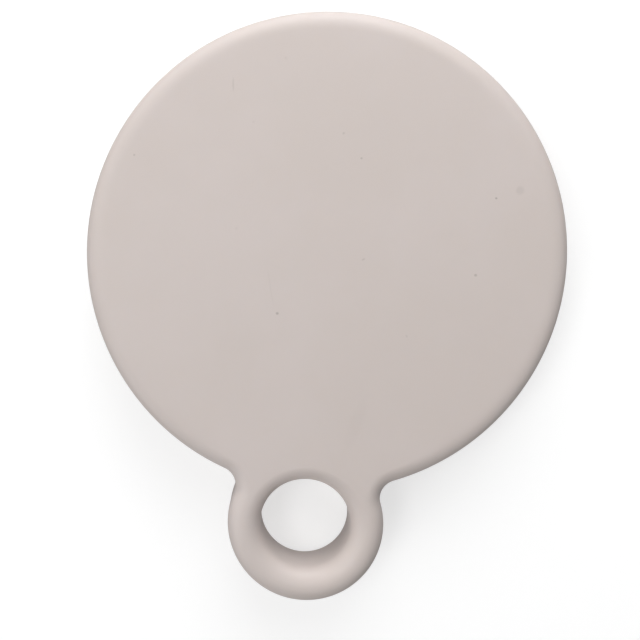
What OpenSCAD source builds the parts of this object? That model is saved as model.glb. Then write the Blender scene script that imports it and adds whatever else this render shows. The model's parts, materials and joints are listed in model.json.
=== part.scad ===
// Flat round disc with an integral eyelet, moulded in one piece.
// It lies on its back face: Z = 0 is the back, the front face looks up and the eyelet points to -Y.
// The origin is the centre of the disc, on the back face. Sizes are in millimetres.

/* [Disc] */
// Diameter of the disc
disc_d = 70; // [50:0.5:100]
// Thickness of the disc and of the eyelet, from the back face to the front face
thickness = 8.9; // [6:0.1:12]

/* [Eyelet] */
// Diameter of the eyelet's bore
bore_d = 13.4; // [9:0.1:18]
// Width of the eyelet's bar, from the bore to the outer edge
bar_w = 4.9; // [4:0.1:7]
// Distance from the disc's edge out to the centre of the eyelet
eyelet_out = 5.1; // [3:0.1:8]
// Radius of the two hollow corners where the eyelet meets the disc
neck_r = 2.8; // [1:0.1:4]

/* [Edges] */
// Rounding of every edge of the front face
front_round = 2.4; // [0.5:0.1:2.6]
// Rounding of every edge of the back face
back_round = 1.4; // [0.5:0.1:2.6]

/* [Hidden] */
$fn = 120;

disc_r = disc_d / 2;
bore_r = bore_d / 2;
eyelet_r = bore_r + bar_w;
eyelet_y = -(disc_r + eyelet_out);

// Narrowest flat that the roundings leave along the middle of the bar, and up its sides.
least_flat = 0.1;
front_r = min(front_round, (bar_w - least_flat) / 2, (thickness - least_flat) / 2);
back_r = min(back_round, (bar_w - least_flat) / 2, (thickness - least_flat) / 2);
// Width of the strip along each edge that holds its roundings.
edge_w = max(front_r, back_r);

// Centre of the right hollow corner, whose circle touches the disc and the eyelet from outside.
corner_to_disc = disc_r + neck_r;
corner_to_eyelet = eyelet_r + neck_r;
corner_y = (corner_to_eyelet ^ 2 - corner_to_disc ^ 2 - eyelet_y ^ 2) / (-2 * eyelet_y);
corner_x = sqrt(corner_to_disc ^ 2 - corner_y ^ 2);

// How far a cutting shape reaches past the faces.
past = 1;

// Moves by v in a coarse and a fine step, which keeps the place exact however its digits are rounded.
module place(v) {
    coarse = [for (c = v) round(c * 10) / 10];
    translate(coarse) translate(v - coarse) children();
}

// A quarter of a circle, to the right and up from the origin.
module quarter(r) {
    intersection() {
        circle(r);
        square(2 * r);
    }
}

// Section through the strip along an edge: its flat side stands at X = 0, its rounded side at X = edge_w.
module edge_section() {
    translate([0, back_r]) square([edge_w, thickness - front_r - back_r]);
    translate([0, thickness - front_r]) {
        if (edge_w > front_r) square([edge_w - front_r, front_r]);
        translate([edge_w - front_r, 0]) quarter(front_r);
    }
    translate([0, back_r]) mirror([0, 1]) {
        if (edge_w > back_r) square([edge_w - back_r, back_r]);
        translate([edge_w - back_r, 0]) quarter(back_r);
    }
}

// Round plate of radius r, with a rounded edge.
module plate(r) {
    rotate_extrude() {
        square([r - edge_w, thickness]);
        translate([r - edge_w, 0]) edge_section();
    }
}

// Plate that runs from a rounded round hole of radius r out to radius reach.
module plate_with_hole(r, reach) {
    rotate_extrude() {
        translate([r + edge_w, 0]) mirror([1, 0]) edge_section();
        translate([r + edge_w, 0]) square([reach - r - edge_w, thickness]);
    }
}

// Right half of the neck's area: a triangle from the disc's centre to the corner and the eyelet's centre.
module half_neck_area() {
    translate([0, 0, -past]) linear_extrude(thickness + 2 * past)
        polygon([[0, 0], [corner_x, corner_y], [0, eyelet_y]]);
}

// Right half of the neck, which ends in the hollow corner.
module half_neck() {
    intersection() {
        place([corner_x, corner_y, 0]) plate_with_hole(neck_r, corner_to_disc);
        half_neck_area();
    }
}

module eyelet_disc() {
    color([0.80, 0.76, 0.73]) {
        difference() {
            union() {
                difference() {
                    plate(disc_r);
                    half_neck_area();
                    mirror([1, 0, 0]) half_neck_area();
                }
                difference() {
                    translate([0, eyelet_y, 0]) plate(eyelet_r);
                    half_neck_area();
                    mirror([1, 0, 0]) half_neck_area();
                }
                half_neck();
                mirror([1, 0, 0]) half_neck();
            }
            translate([0, eyelet_y, -past]) cylinder(r = bore_r + edge_w, h = thickness + 2 * past);
        }
        translate([0, eyelet_y, 0]) rotate_extrude()
            translate([bore_r + edge_w, 0]) mirror([1, 0]) edge_section();
    }
}

eyelet_disc();
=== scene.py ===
"""A flat round disc with an integral eyelet, lying on a white floor.

The disc is one moulding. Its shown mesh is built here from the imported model's own sizes, with
exact round edges, and carries a satin moulded plastic made of nodes. Lengths are in metres.
"""

import json
import math

import bmesh
import bpy
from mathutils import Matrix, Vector
from mathutils.geometry import delaunay_2d_cdt


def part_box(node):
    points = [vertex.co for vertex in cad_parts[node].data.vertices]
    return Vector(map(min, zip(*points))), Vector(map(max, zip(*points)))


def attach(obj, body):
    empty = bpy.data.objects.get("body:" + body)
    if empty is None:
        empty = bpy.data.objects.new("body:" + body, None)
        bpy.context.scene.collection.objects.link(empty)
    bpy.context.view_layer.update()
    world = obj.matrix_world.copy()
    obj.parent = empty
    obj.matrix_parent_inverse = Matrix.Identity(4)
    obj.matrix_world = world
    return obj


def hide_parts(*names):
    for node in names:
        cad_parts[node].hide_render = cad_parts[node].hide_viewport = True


NODE = "eyelet_disc"
MM = 0.001

# Radius of the hollow corners beside the eyelet, as the CAD source has it.
NECK_R = 2.8 * MM

# The disc's front edge falls away more softly than the eyelet's narrow bar allows: the width of
# its rounding, how far from the eyelet it takes to get there, and the power of its curve, where
# 2 is a plain ellipse.
DISC_EDGE_WIDTH = 3.0 * MM
EDGE_WIDENS_OVER = 16 * MM
DISC_EDGE_POWER = 2.4

# Mesh fineness: the step along an outline, the steps round an edge, the spacing of the points on
# the faces, and the share of that spacing between two rows of them.
OUTLINE_STEP = 0.35 * MM
EDGE_STEPS = 14
FACE_GRID = 1.0 * MM
ROW_SHARE = 0.866

# The plastic's colour where it flowed lighter and darker, and the colour that marks turn to.
PLASTIC_LIGHT = (0.625, 0.560, 0.535, 1)
PLASTIC_DARK = (0.610, 0.545, 0.515, 1)
GRIME = (0.12, 0.10, 0.08, 1)

# Cells to the millimetre of the flow mottling, of the moulded grain and of the broad waves, and
# the span of the mottling's noise over which the plastic goes from light to dark.
MOTTLE_PER_MM = 0.06
GRAIN_PER_MM = 3.5
WAVES_PER_MM = 0.11
MOTTLE_SPAN = (0.3, 0.7)

# Heights of the moulded grain, of the broad waves of the face and of the marks, in millimetres.
GRAIN_DEPTH = 0.0015
WAVE_DEPTH = 0.02
MARK_DEPTH = 0.05

# Roughness where the grain is lowest, how much the grain adds, and how much handling has taken off
# the edges. The handled zone starts and is complete this far below the front face, in millimetres.
ROUGHNESS = 0.46
GRAIN_ROUGHNESS = 0.08
HANDLED_LOSS = 0.05
HANDLED_ZONE = (0.05, 1.2)

# Marks on the front face, which are specks, then two scratches, a round spot and a flow mark:
# share of the disc's radius, angle in degrees, half length and half width in millimetres, turn in
# degrees, and the share of the colour that they take away, which also sets how deep they go.
MARKS = (
    (0.31, -125, 0.28, 0.25, 0, 0.34),
    (0.62, -4, 0.27, 0.24, 0, 0.30),
    (0.73, 22, 0.22, 0.19, 0, 0.36),
    (0.42, 73, 0.21, 0.19, 0, 0.26),
    (0.885, 156, 0.19, 0.17, 0, 0.26),
    (0.16, -3, 0.32, 0.16, 30, 0.18),
    (0.50, 85, 0.26, 0.20, 40, 0.16),
    (0.475, -41, 0.26, 0.18, 120, 0.12),
    (0.814, 105, 0.34, 0.26, 150, 0.06),
    (0.616, 122, 0.26, 0.22, 0, 0.06),
    (0.378, 167, 0.34, 0.28, 60, 0.05),
    (0.79, 122, 1.20, 0.14, 94, 0.13),
    (0.26, -145, 3.60, 0.16, 103, 0.035),
    (0.83, 22, 0.75, 0.75, 0, 0.10),
    (0.72, -76, 5.00, 1.20, 73, 0.02),
)

# How far a mark reaches above and below the front face, in millimetres, and how steeply it fades
# at its edge.
MARK_REACH = 0.5
MARK_STEEPNESS = 2.0

# The camera's place in millimetres, its turn in degrees, its lens, its shift and the nearest and
# farthest that it sees in metres. The view is cropped off the lens's axis, hence the shift.
CAMERA_AT = (-5.94, 0.69, 113.26)
CAMERA_TURN = (-2.609, 2.221, 3.692)
CAMERA_LENS = 40.72
CAMERA_SHIFT = (0.1009, -0.0619)
CAMERA_RANGE = (0.005, 20)

# The soft lamps: name, direction around and up in degrees, distance in metres, and power in
# watts. Light comes mostly from beyond the disc's top edge and from its left.
SOFTBOXES = (
    ("top_low", 90, 20, 0.35, 0.97),
    ("top_high", 90, 40, 0.35, 0.32),
    ("upper_right", 45, 28, 0.6, 0.17),
    ("left_high", 180, 60, 0.6, 0.74),
    ("left_low", 225, 28, 0.6, 0.97),
)
SOFTBOX_SIZE = (0.3, 0.2)
ROOM_LIGHT = 0.3

# The stage's radius in metres, how far the disc's back reaches through the floor so that it
# shows in a view from below, and how much the floor and the backdrop glow of themselves.
STAGE_RADIUS = 4.0
FLOOR_HEIGHT = 0.02 * MM
FLOOR_GLOW = 0.6
BACKDROP_GLOW = 0.74

# The floor's paper: its colour, cells of fibre to the millimetre and their height in millimetres.
PAPER_COLOUR = (0.46, 0.46, 0.46, 1)
FIBRES_PER_MM = 0.8
FIBRE_DEPTH = 0.02


# ---------------------------------------------------------------- the frame and its sizes

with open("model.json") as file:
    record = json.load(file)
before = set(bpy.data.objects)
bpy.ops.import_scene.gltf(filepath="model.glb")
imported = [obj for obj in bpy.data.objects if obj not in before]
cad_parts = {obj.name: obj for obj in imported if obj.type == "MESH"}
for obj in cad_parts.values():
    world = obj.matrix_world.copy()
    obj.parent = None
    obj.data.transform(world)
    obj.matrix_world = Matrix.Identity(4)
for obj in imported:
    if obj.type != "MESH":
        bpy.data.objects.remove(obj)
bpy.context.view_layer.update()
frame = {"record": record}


def sizes_of_the_disc():
    """The disc's driving sizes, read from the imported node's box and its bore mount."""
    low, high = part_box(NODE)
    mounts = {m["name"]: m for m in frame["record"]["mounts"]}
    bore = mounts["eyelet_bore"]
    eye_y = bore["pos_m"][1]
    wall_mid, wall_half = bore["pos_m"][2], bore["dims"]["length_mm"] * MM / 2
    return {
        "disc_r": high.y,
        "thickness": high.z,
        "eye_y": eye_y,
        "eye_r": eye_y - low.y,
        "bore_r": bore["dims"]["r_mm"] * MM,
        "front_r": high.z - wall_mid - wall_half,
        "back_r": wall_mid - wall_half,
    }


# ---------------------------------------------------------------- outlines

def arc(centre, radius, start, end, bulge):
    """Points along an arc from one angle to another, each with its outward normal.

    bulge is 1 where the solid is inside the arc's circle, and -1 where it is outside."""
    count = max(8, math.ceil(abs(end - start) * radius / OUTLINE_STEP))
    rows = []
    for i in range(count):
        angle = start + (end - start) * i / count
        way = Vector((math.cos(angle), math.sin(angle)))
        rows.append((Vector(centre) + way * radius, way * bulge))
    return rows


def outer_outline(s):
    """The closed outer outline: the disc, a hollow corner, the eyelet and the other corner."""
    to_disc, to_eye = s["disc_r"] + NECK_R, s["eye_r"] + NECK_R
    y = (to_eye**2 - to_disc**2 - s["eye_y"] ** 2) / (-2 * s["eye_y"])
    x = math.sqrt(to_disc**2 - y**2)
    at_disc = math.atan2(x, -y)
    at_eye = math.atan2(x, y - s["eye_y"])
    quarter = math.pi / 2
    disc = arc((0, 0), s["disc_r"], at_disc - quarter, 3 * quarter - at_disc, 1)
    left = arc((-x, y), NECK_R, quarter - at_disc, at_eye - quarter, -1)
    eye = arc((0, s["eye_y"]), s["eye_r"], quarter + at_eye, 5 * quarter - at_eye, 1)
    right = arc((x, y), NECK_R, 3 * quarter - at_eye, quarter + at_disc, -1)
    return disc + left + eye + right


def bore_outline(s):
    """The closed outline of the eyelet's bore, with normals that point into the hole."""
    return arc((0, s["eye_y"]), s["bore_r"], 2 * math.pi, 0, -1)


# ---------------------------------------------------------------- the mesh

def disc_share(s, point):
    """0 on the eyelet's outline and in its bore, rising smoothly to 1 along the disc's outline."""
    beyond = (point - Vector((0, s["eye_y"]))).length - s["eye_r"]
    share = min(1, max(0, beyond / EDGE_WIDENS_OVER))
    return share * share * (3 - 2 * share)


def front_edge(s, share, turn):
    """Inset, height, and outward and upward lean, at a turn round the front edge."""
    width = s["front_r"] + (DISC_EDGE_WIDTH - s["front_r"]) * share
    power = 2 + (DISC_EDGE_POWER - 2) * share
    out, up = math.sin(turn), max(0.0, math.cos(turn))
    inset = width * (1 - out ** (2 / power))
    z = s["thickness"] - s["front_r"] * (1 - up ** (2 / power))
    return inset, z, out ** (2 - 2 / power) / width, up ** (2 - 2 / power) / s["front_r"]


def back_edge(s, turn):
    """Inset, height, and outward and upward lean, at a turn round the back edge."""
    out, down = math.cos(turn), math.sin(turn)
    return s["back_r"] * (1 - out), s["back_r"] * (1 - down), out, -down


class Shell:
    """Vertices, their exact normals, and faces."""

    def __init__(self):
        self.verts, self.normals, self.faces = [], [], []

    def vertex(self, point, normal):
        self.verts.append(tuple(point))
        self.normals.append(tuple(normal))
        return len(self.verts) - 1

    def edge_strip(self, s, outline):
        """The rounded strip along an outline, with its first and last ring of vertices."""
        turns = [math.pi / 2 * k / EDGE_STEPS for k in range(EDGE_STEPS + 1)]
        shares = [disc_share(s, point) for point, _ in outline]
        sections = [[front_edge(s, share, turn) for share in shares] for turn in turns]
        sections += [[back_edge(s, turn)] * len(outline) for turn in turns]
        rings = []
        for section in sections:
            ring = []
            for (point, way), (inset, z, out, up) in zip(outline, section):
                at = point - way * inset
                lean = Vector((way.x * out, way.y * out, up)).normalized()
                ring.append(self.vertex((at.x, at.y, z), lean))
            rings.append(ring)
        count = len(outline)
        for upper, lower in zip(rings, rings[1:]):
            for i in range(count):
                j = (i + 1) % count
                self.faces.append((upper[i], lower[i], lower[j], upper[j]))
        return rings[0], rings[-1]

    def flat_face(self, outer, hole, z, up, inner):
        """A flat face from the outer ring of vertices to the round hole's, using inner's points."""
        keys = outer + hole
        points = [Vector(self.verts[i][:2]) for i in keys]
        edges = [(k, (k + 1) % len(outer)) for k in range(len(outer))]
        edges += [(len(outer) + k, len(outer) + (k + 1) % len(hole)) for k in range(len(hole))]
        out, _, tris, origin, _, _ = delaunay_2d_cdt(points + inner, edges, [], 1, 1e-9)
        known = {}
        for k, sources in enumerate(origin):
            ring = [i for i in sources if i < len(keys)]
            known[k] = keys[ring[0]] if ring else self.vertex((out[k].x, out[k].y, z), (0, 0, up))
        for tri in tris:
            face = [known[k] for k in tri]
            if not set(face) <= set(hole):
                self.faces.append(face if up > 0 else face[::-1])


def face_grid(s, inside):
    """Points of a triangular grid that lie on the flat of a face, clear of its edges."""
    count = math.ceil(2 * s["disc_r"] / FACE_GRID)
    points = []
    for j in range(-count, count):
        for i in range(-count, count):
            p = Vector(((i + 0.5 * (j % 2)) * FACE_GRID, j * FACE_GRID * ROW_SHARE))
            if inside(p):
                points.append(p)
    return points


def build_disc(s):
    """The shown disc with its eyelet, as one closed mesh with exact normals."""
    shell = Shell()
    outer_top, outer_low = shell.edge_strip(s, outer_outline(s))
    bore_top, bore_low = shell.edge_strip(s, bore_outline(s))
    clear = DISC_EDGE_WIDTH + 0.5 * FACE_GRID
    eye = Vector((0, s["eye_y"]))

    def inside(p):
        in_disc = p.length < s["disc_r"] - clear
        in_neck = abs(p.x) < s["eye_r"] - clear and s["eye_y"] < p.y < 0
        return (in_disc or in_neck) and (p - eye).length > s["bore_r"] + clear

    grid = face_grid(s, inside)
    shell.flat_face(outer_top, bore_top, s["thickness"], 1, grid)
    shell.flat_face(outer_low, bore_low, 0.0, -1, grid)
    mesh = bpy.data.meshes.new("eyelet_disc_moulding")
    mesh.from_pydata(shell.verts, [], shell.faces)
    mesh.validate()
    mesh.shade_smooth()
    mesh.normals_split_custom_set_from_vertices(shell.normals)
    return add_to_scene("eyelet_disc_moulding", mesh)


# ---------------------------------------------------------------- materials

class Graph:
    """Adds nodes to a material; any input takes a plain value or another node's socket."""

    def __init__(self, name):
        self.material = bpy.data.materials.new(name)
        self.material.use_nodes = True
        self.tree = self.material.node_tree
        self.shader = self.tree.nodes["Principled BSDF"]

    def feed(self, socket, value):
        if isinstance(value, bpy.types.NodeSocket):
            self.tree.links.new(value, socket)
        else:
            socket.default_value = value

    def add(self, kind, inputs, output=0, **settings):
        node = self.tree.nodes.new(kind)
        for name, value in settings.items():
            setattr(node, name, value)
        for key, value in inputs.items():
            self.feed(node.inputs[key], value)
        return node.outputs[output]

    def math(self, operation, a, b=0.0, c=0.0, clamp=False):
        return self.add("ShaderNodeMath", {0: a, 1: b, 2: c}, operation=operation, use_clamp=clamp)

    def mix(self, share, a, b):
        """Colour a where share is 0, and b where it is 1; 6 and 7 are the node's colour inputs."""
        inputs = {"Factor": share, 6: a, 7: b}
        return self.add("ShaderNodeMix", inputs, output=2, data_type="RGBA")

    def ramp(self, value, low, high):
        """A smooth 0 to 1 as value goes from low to high."""
        inputs = {"Value": value, "From Min": low, "From Max": high}
        return self.add("ShaderNodeMapRange", inputs, interpolation_type="SMOOTHSTEP")

    def noise(self, at, per_mm, detail=2.0):
        """Noise with per_mm cells to the millimetre, between 0 and 1."""
        return self.add("ShaderNodeTexNoise", {"Vector": at, "Scale": per_mm, "Detail": detail})

    def shade(self, **inputs):
        """Sets the shader's inputs, named with _ for each space, and gives the material."""
        for name, value in inputs.items():
            self.feed(self.shader.inputs[name.replace("_", " ")], value)
        return self.material


def place_in_mm(graph):
    """The surface point in the part's own frame, in millimetres."""
    point = graph.add("ShaderNodeTexCoord", {}, output="Object")
    return graph.add("ShaderNodeVectorMath", {0: point, "Scale": 1 / MM}, operation="SCALE")


def mark(graph, at, s, share, angle, half_length, half_width, turn):
    """1 inside an oval mark on the front face, fading to 0 at its edge."""
    radius, way = s["disc_r"] / MM * share, math.radians(angle)
    inputs = {
        "Vector": at,
        "Location": (radius * math.cos(way), radius * math.sin(way), s["thickness"] / MM),
        "Rotation": (0, 0, math.radians(turn)),
        "Scale": (half_length, half_width, MARK_REACH),
    }
    local = graph.add("ShaderNodeMapping", inputs, vector_type="TEXTURE")
    fade = graph.add("ShaderNodeTexGradient", {"Vector": local}, output=1, gradient_type="SPHERICAL")
    return graph.math("MULTIPLY", fade, MARK_STEEPNESS, clamp=True)


def all_marks(graph, at, s):
    """How much of the surface's colour the marks take away."""
    total = 0.0
    for *shape, depth in MARKS:
        total = graph.math("MULTIPLY_ADD", mark(graph, at, s, *shape), depth, total)
    return total


def plastic(s):
    """Satin moulded plastic, with faint flow mottling, small specks and scratches, and handled edges."""
    graph = Graph("moulded_plastic")
    at = place_in_mm(graph)
    height = graph.add("ShaderNodeSeparateXYZ", {"Vector": at}, output="Z")
    on_edge = graph.ramp(height, *(s["thickness"] / MM - below for below in HANDLED_ZONE))
    mottle = graph.noise(at, MOTTLE_PER_MM, 4.0)
    fine = graph.noise(at, GRAIN_PER_MM, 3.0)
    broad = graph.noise(at, WAVES_PER_MM, 1.0)
    marks = all_marks(graph, at, s)

    clean = graph.mix(graph.ramp(mottle, *MOTTLE_SPAN), PLASTIC_LIGHT, PLASTIC_DARK)
    colour = graph.mix(marks, clean, GRIME)
    rough = graph.math("MULTIPLY_ADD", fine, GRAIN_ROUGHNESS, ROUGHNESS)
    rough = graph.math("MULTIPLY_ADD", on_edge, -HANDLED_LOSS, rough)
    relief = graph.math("MULTIPLY", fine, GRAIN_DEPTH)
    relief = graph.math("MULTIPLY_ADD", broad, WAVE_DEPTH, relief)
    relief = graph.math("MULTIPLY_ADD", marks, -MARK_DEPTH, relief)
    normal = graph.add("ShaderNodeBump", {"Strength": 1.0, "Distance": MM, "Height": relief})
    return graph.shade(
        Base_Color=colour,
        Roughness=rough,
        Normal=normal,
        IOR=1.47,
        Specular_IOR_Level=0.35,
        Subsurface_Weight=0.15,
        Subsurface_Radius=(1.0, 0.85, 0.7),
        Subsurface_Scale=MM,
    )


def floor_finish():
    """Plain white paper on a light table, which keeps its shadows soft and pale."""
    graph = Graph("pale_floor")
    at = place_in_mm(graph)
    fibres = graph.noise(at, FIBRES_PER_MM, 3.0)
    relief = graph.math("MULTIPLY", fibres, FIBRE_DEPTH)
    normal = graph.add("ShaderNodeBump", {"Strength": 0.5, "Distance": MM, "Height": relief})
    return graph.shade(
        Base_Color=PAPER_COLOUR,
        Roughness=0.9,
        Normal=normal,
        Emission_Color=(1, 1, 1, 1),
        Emission_Strength=FLOOR_GLOW,
    )


# ---------------------------------------------------------------- stage

def add_to_scene(name, data):
    """Puts a mesh, lamp or camera into the scene as an object."""
    made = bpy.data.objects.new(name, data)
    bpy.context.scene.collection.objects.link(made)
    return made


def add_camera():
    data = bpy.data.cameras.new("camera")
    camera = add_to_scene("camera", data)
    camera.location = [v * MM for v in CAMERA_AT]
    camera.rotation_euler = [math.radians(a) for a in CAMERA_TURN]
    data.lens = CAMERA_LENS
    data.shift_x, data.shift_y = CAMERA_SHIFT
    data.clip_start, data.clip_end = CAMERA_RANGE
    bpy.context.scene.camera = camera


def add_stage_piece(name, mesh, finish):
    """A piece of the stage that the camera sees, but that throws no light onto the disc."""
    mesh.materials.append(finish)
    piece = add_to_scene(name, mesh)
    piece.visible_diffuse = False
    piece.visible_glossy = False
    return piece


def add_floor():
    mesh = bpy.data.meshes.new("floor")
    sides = ((-1, -1), (1, -1), (1, 1), (-1, 1))
    corners = [(x * STAGE_RADIUS, y * STAGE_RADIUS, FLOOR_HEIGHT) for x, y in sides]
    mesh.from_pydata(corners, [], [(0, 1, 2, 3)])
    add_stage_piece("floor", mesh, floor_finish())


def add_backdrop():
    """A wide pale dome that meets the floor's far edge and lets the room's light through."""
    shape = bmesh.new()
    bmesh.ops.create_uvsphere(shape, u_segments=64, v_segments=32, radius=STAGE_RADIUS)
    mesh = bpy.data.meshes.new("backdrop")
    shape.to_mesh(mesh)
    shape.free()
    mesh.shade_smooth()
    graph = Graph("pale_backdrop")
    finish = graph.shade(
        Base_Color=(0, 0, 0, 1),
        Specular_IOR_Level=0,
        Emission_Color=(1, 1, 1, 1),
        Emission_Strength=BACKDROP_GLOW,
    )
    add_stage_piece("backdrop", mesh, finish).visible_shadow = False


def add_softbox(name, around, up, away, power):
    """A soft lamp that faces the disc; around counts from +X toward +Y, and up from the floor."""
    data = bpy.data.lights.new(name, "AREA")
    data.shape = "RECTANGLE"
    data.size, data.size_y = SOFTBOX_SIZE
    data.energy = power
    lamp = add_to_scene(name, data)
    around, up = math.radians(around), math.radians(up)
    way = Vector((math.cos(up) * math.cos(around), math.cos(up) * math.sin(around), math.sin(up)))
    lamp.location = way * away
    lamp.rotation_euler = (-way).to_track_quat("-Z", "Y").to_euler()


def add_world():
    world = bpy.data.worlds.new("studio")
    world.use_nodes = True
    background = world.node_tree.nodes["Background"]
    background.inputs["Color"].default_value = (1, 1, 1, 1)
    background.inputs["Strength"].default_value = ROOM_LIGHT
    bpy.context.scene.world = world


def main():
    sizes = sizes_of_the_disc()
    disc = build_disc(sizes)
    disc.data.materials.append(plastic(sizes))
    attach(disc, "root")
    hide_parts(NODE)
    add_camera()
    add_floor()
    add_backdrop()
    for lamp in SOFTBOXES:
        add_softbox(*lamp)
    add_world()
    bpy.context.scene.view_settings.view_transform = "Standard"


main()
